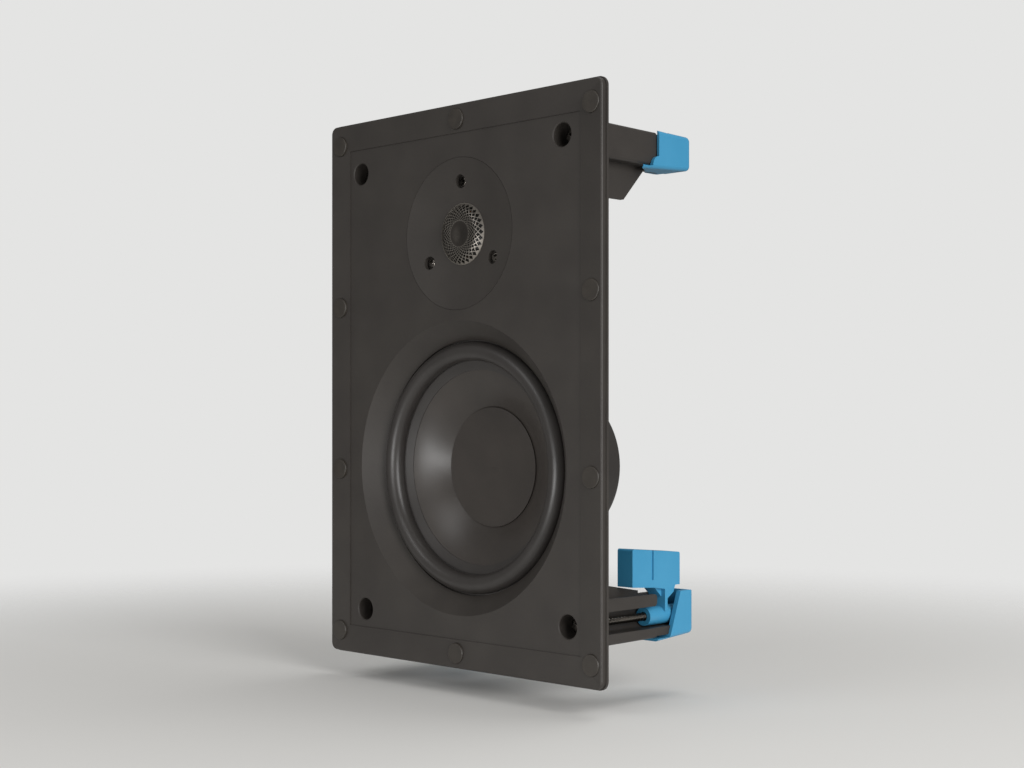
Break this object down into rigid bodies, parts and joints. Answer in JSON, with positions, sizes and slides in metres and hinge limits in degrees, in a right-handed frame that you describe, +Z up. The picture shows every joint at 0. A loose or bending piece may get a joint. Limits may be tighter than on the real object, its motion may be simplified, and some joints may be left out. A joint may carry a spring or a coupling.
{
  "type": "in-wall loudspeaker",
  "caption": "Flush wall loudspeaker with a round woofer, a tweeter behind a perforated lens, grille discs round a sloping border and swing-out wall clamps.",
  "frame": {"origin": "centre of the flange's rear face, which lies on the wall", "axes": "-Y towards the listener, +Y into the wall, +Z up, +X to the right as seen from the front"},
  "size_m": [0.2154, 0.0966, 0.3114],
  "materials": {
    "baffle_plastic": "fine moulded grain, dark warm grey",
    "disc_steel": "dull coated steel",
    "zinc_steel": "zinc plated",
    "black_steel": "black oxide",
    "brass": "turned",
    "blue_nylon": "moulded, light blue",
    "gasket_foam": "closed-cell foam",
    "chassis_paint": "black powder coat",
    "surround_rubber": "satin black",
    "cone_plastic": "satin moulded sheet",
    "coil_copper": "enamelled copper",
    "spider_cloth": "resin-treated cloth",
    "ferrite": "sintered ferrite",
    "rare_earth": "nickel plated",
    "boot_plastic": "moulded",
    "tag_metal": "tinned tabs",
    "tweeter_plastic": "fine moulded grain",
    "lens_metal": "satin black",
    "dome_cloth": "coated cloth",
    "board_laminate": "circuit board laminate",
    "capacitor_film": "wrapped film",
    "resistor_ceramic": "ceramic case",
    "terminal_plastic": "moulded",
    "red_plastic": "moulded",
    "black_plastic": "moulded"
  },
  "bodies": {
    "frame": {"clamp_tower_bottom_left": "baffle_plastic", "clamp_tower_bottom_right": "baffle_plastic", "clamp_tower_top_left": "baffle_plastic", "clamp_tower_top_right": "baffle_plastic", "crossover_board": "board_laminate", "crossover_resistor": "resistor_ceramic", "front_baffle": "baffle_plastic", "grille_discs": "disc_steel", "large_capacitor": "capacitor_film", "magnet_cover": "boot_plastic", "rear_screws": "zinc_steel", "screw_retainers": "zinc_steel", "small_capacitor": "capacitor_film", "terminal_block": "terminal_plastic", "tower_cap_bottom_left": "blue_nylon", "tower_cap_bottom_right": "blue_nylon", "tower_cap_top_left": "blue_nylon", "tower_cap_top_right": "blue_nylon", "tweeter_coil": "coil_copper", "tweeter_faceplate": "tweeter_plastic", "tweeter_lens": "lens_metal", "tweeter_magnet": "rare_earth", "tweeter_pole_plate": "zinc_steel", "tweeter_screws": "black_steel", "tweeter_surround": "dome_cloth", "tweeter_yoke": "zinc_steel", "woofer_chassis": "chassis_paint", "woofer_coil": "coil_copper", "woofer_gasket": "gasket_foam", "woofer_magnet": "ferrite", "woofer_screws": "zinc_steel", "woofer_spider": "spider_cloth", "woofer_surround": "surround_rubber", "woofer_tags": "tag_metal", "woofer_top_plate": "zinc_steel", "woofer_yoke": "zinc_steel"},
    "woofer_diaphragm": {"woofer_cone": "cone_plastic", "woofer_dust_cap": "cone_plastic", "woofer_voice_coil": "coil_copper"},
    "tweeter_diaphragm": {"tweeter_dome": "dome_cloth", "tweeter_voice_coil": "coil_copper"},
    "red_terminal_button": {"red_button": "red_plastic"},
    "black_terminal_button": {"black_button": "black_plastic"},
    "clamp_screw_bottom_right": {"clamp_screw_bottom_right": "zinc_steel"},
    "clamp_bush_bottom_right": {"clamp_bush_bottom_right": "brass"},
    "clamp_arm_bottom_right": {"clamp_arm_bottom_right": "blue_nylon"},
    "clamp_screw_top_right": {"clamp_screw_top_right": "zinc_steel"},
    "clamp_bush_top_right": {"clamp_bush_top_right": "brass"},
    "clamp_arm_top_right": {"clamp_arm_top_right": "blue_nylon"},
    "clamp_screw_top_left": {"clamp_screw_top_left": "zinc_steel"},
    "clamp_bush_top_left": {"clamp_bush_top_left": "brass"},
    "clamp_arm_top_left": {"clamp_arm_top_left": "blue_nylon"},
    "clamp_screw_bottom_left": {"clamp_screw_bottom_left": "zinc_steel"},
    "clamp_bush_bottom_left": {"clamp_bush_bottom_left": "brass"},
    "clamp_arm_bottom_left": {"clamp_arm_bottom_left": "blue_nylon"}
  },
  "joints": [
    {"name": "woofer_stroke", "type": "slide", "parent": "frame", "child": "woofer_diaphragm", "axis": [0, -1, 0], "range_m": [-0.004, 0.004], "stiffness_N_per_m": 1500, "deforming": ["woofer_surround", "woofer_spider"]},
    {"name": "tweeter_stroke", "type": "slide", "parent": "frame", "child": "tweeter_diaphragm", "axis": [0, -1, 0], "range_m": [-0.0004, 0.0004], "stiffness_N_per_m": 1000, "deforming": ["tweeter_surround"]},
    {"name": "red_button_push", "type": "slide", "parent": "frame", "child": "red_terminal_button", "axis": [0, -1, 0], "range_m": [0, 0.003], "stiffness_N_per_m": 600},
    {"name": "black_button_push", "type": "slide", "parent": "frame", "child": "black_terminal_button", "axis": [0, -1, 0], "range_m": [0, 0.003], "stiffness_N_per_m": 600},
    {"name": "clamp_screw_turn_bottom_right", "type": "hinge", "parent": "frame", "child": "clamp_screw_bottom_right", "pos_m": [0.082, 0, -0.1252], "axis": [0, 1, 0], "range_deg": [0, 5041]},
    {"name": "clamp_travel_bottom_right", "type": "slide", "parent": "frame", "child": "clamp_bush_bottom_right", "axis": [0, -1, 0], "range_m": [0, 0.035]},
    {"name": "clamp_swing_bottom_right", "type": "hinge", "parent": "clamp_bush_bottom_right", "child": "clamp_arm_bottom_right", "pos_m": [0.082, 0, -0.1252], "axis": [0, 1, 0], "range_deg": [0, 90]},
    {"name": "clamp_screw_turn_top_right", "type": "hinge", "parent": "frame", "child": "clamp_screw_top_right", "pos_m": [0.078, 0, 0.129], "axis": [0, 1, 0], "range_deg": [0, 5041]},
    {"name": "clamp_travel_top_right", "type": "slide", "parent": "frame", "child": "clamp_bush_top_right", "axis": [0, -1, 0], "range_m": [0, 0.035]},
    {"name": "clamp_swing_top_right", "type": "hinge", "parent": "clamp_bush_top_right", "child": "clamp_arm_top_right", "pos_m": [0.078, 0, 0.129], "axis": [0, 1, 0], "range_deg": [0, 90]},
    {"name": "clamp_screw_turn_top_left", "type": "hinge", "parent": "frame", "child": "clamp_screw_top_left", "pos_m": [-0.082, 0, 0.1252], "axis": [0, 1, 0], "range_deg": [0, 5041]},
    {"name": "clamp_travel_top_left", "type": "slide", "parent": "frame", "child": "clamp_bush_top_left", "axis": [0, -1, 0], "range_m": [0, 0.035]},
    {"name": "clamp_swing_top_left", "type": "hinge", "parent": "clamp_bush_top_left", "child": "clamp_arm_top_left", "pos_m": [-0.082, 0, 0.1252], "axis": [0, 1, 0], "range_deg": [0, 90]},
    {"name": "clamp_screw_turn_bottom_left", "type": "hinge", "parent": "frame", "child": "clamp_screw_bottom_left", "pos_m": [-0.078, 0, -0.129], "axis": [0, 1, 0], "range_deg": [0, 5041]},
    {"name": "clamp_travel_bottom_left", "type": "slide", "parent": "frame", "child": "clamp_bush_bottom_left", "axis": [0, -1, 0], "range_m": [0, 0.035]},
    {"name": "clamp_swing_bottom_left", "type": "hinge", "parent": "clamp_bush_bottom_left", "child": "clamp_arm_bottom_left", "pos_m": [-0.078, 0, -0.129], "axis": [0, 1, 0], "range_deg": [0, 90]}
  ],
  "couplings": [
    {"joint": "clamp_screw_turn_bottom_right", "follows": "clamp_travel_bottom_right", "rad_per_m": 2513.3},
    {"joint": "clamp_screw_turn_top_right", "follows": "clamp_travel_top_right", "rad_per_m": 2513.3},
    {"joint": "clamp_screw_turn_top_left", "follows": "clamp_travel_top_left", "rad_per_m": 2513.3},
    {"joint": "clamp_screw_turn_bottom_left", "follows": "clamp_travel_bottom_left", "rad_per_m": 2513.3}
  ]
}
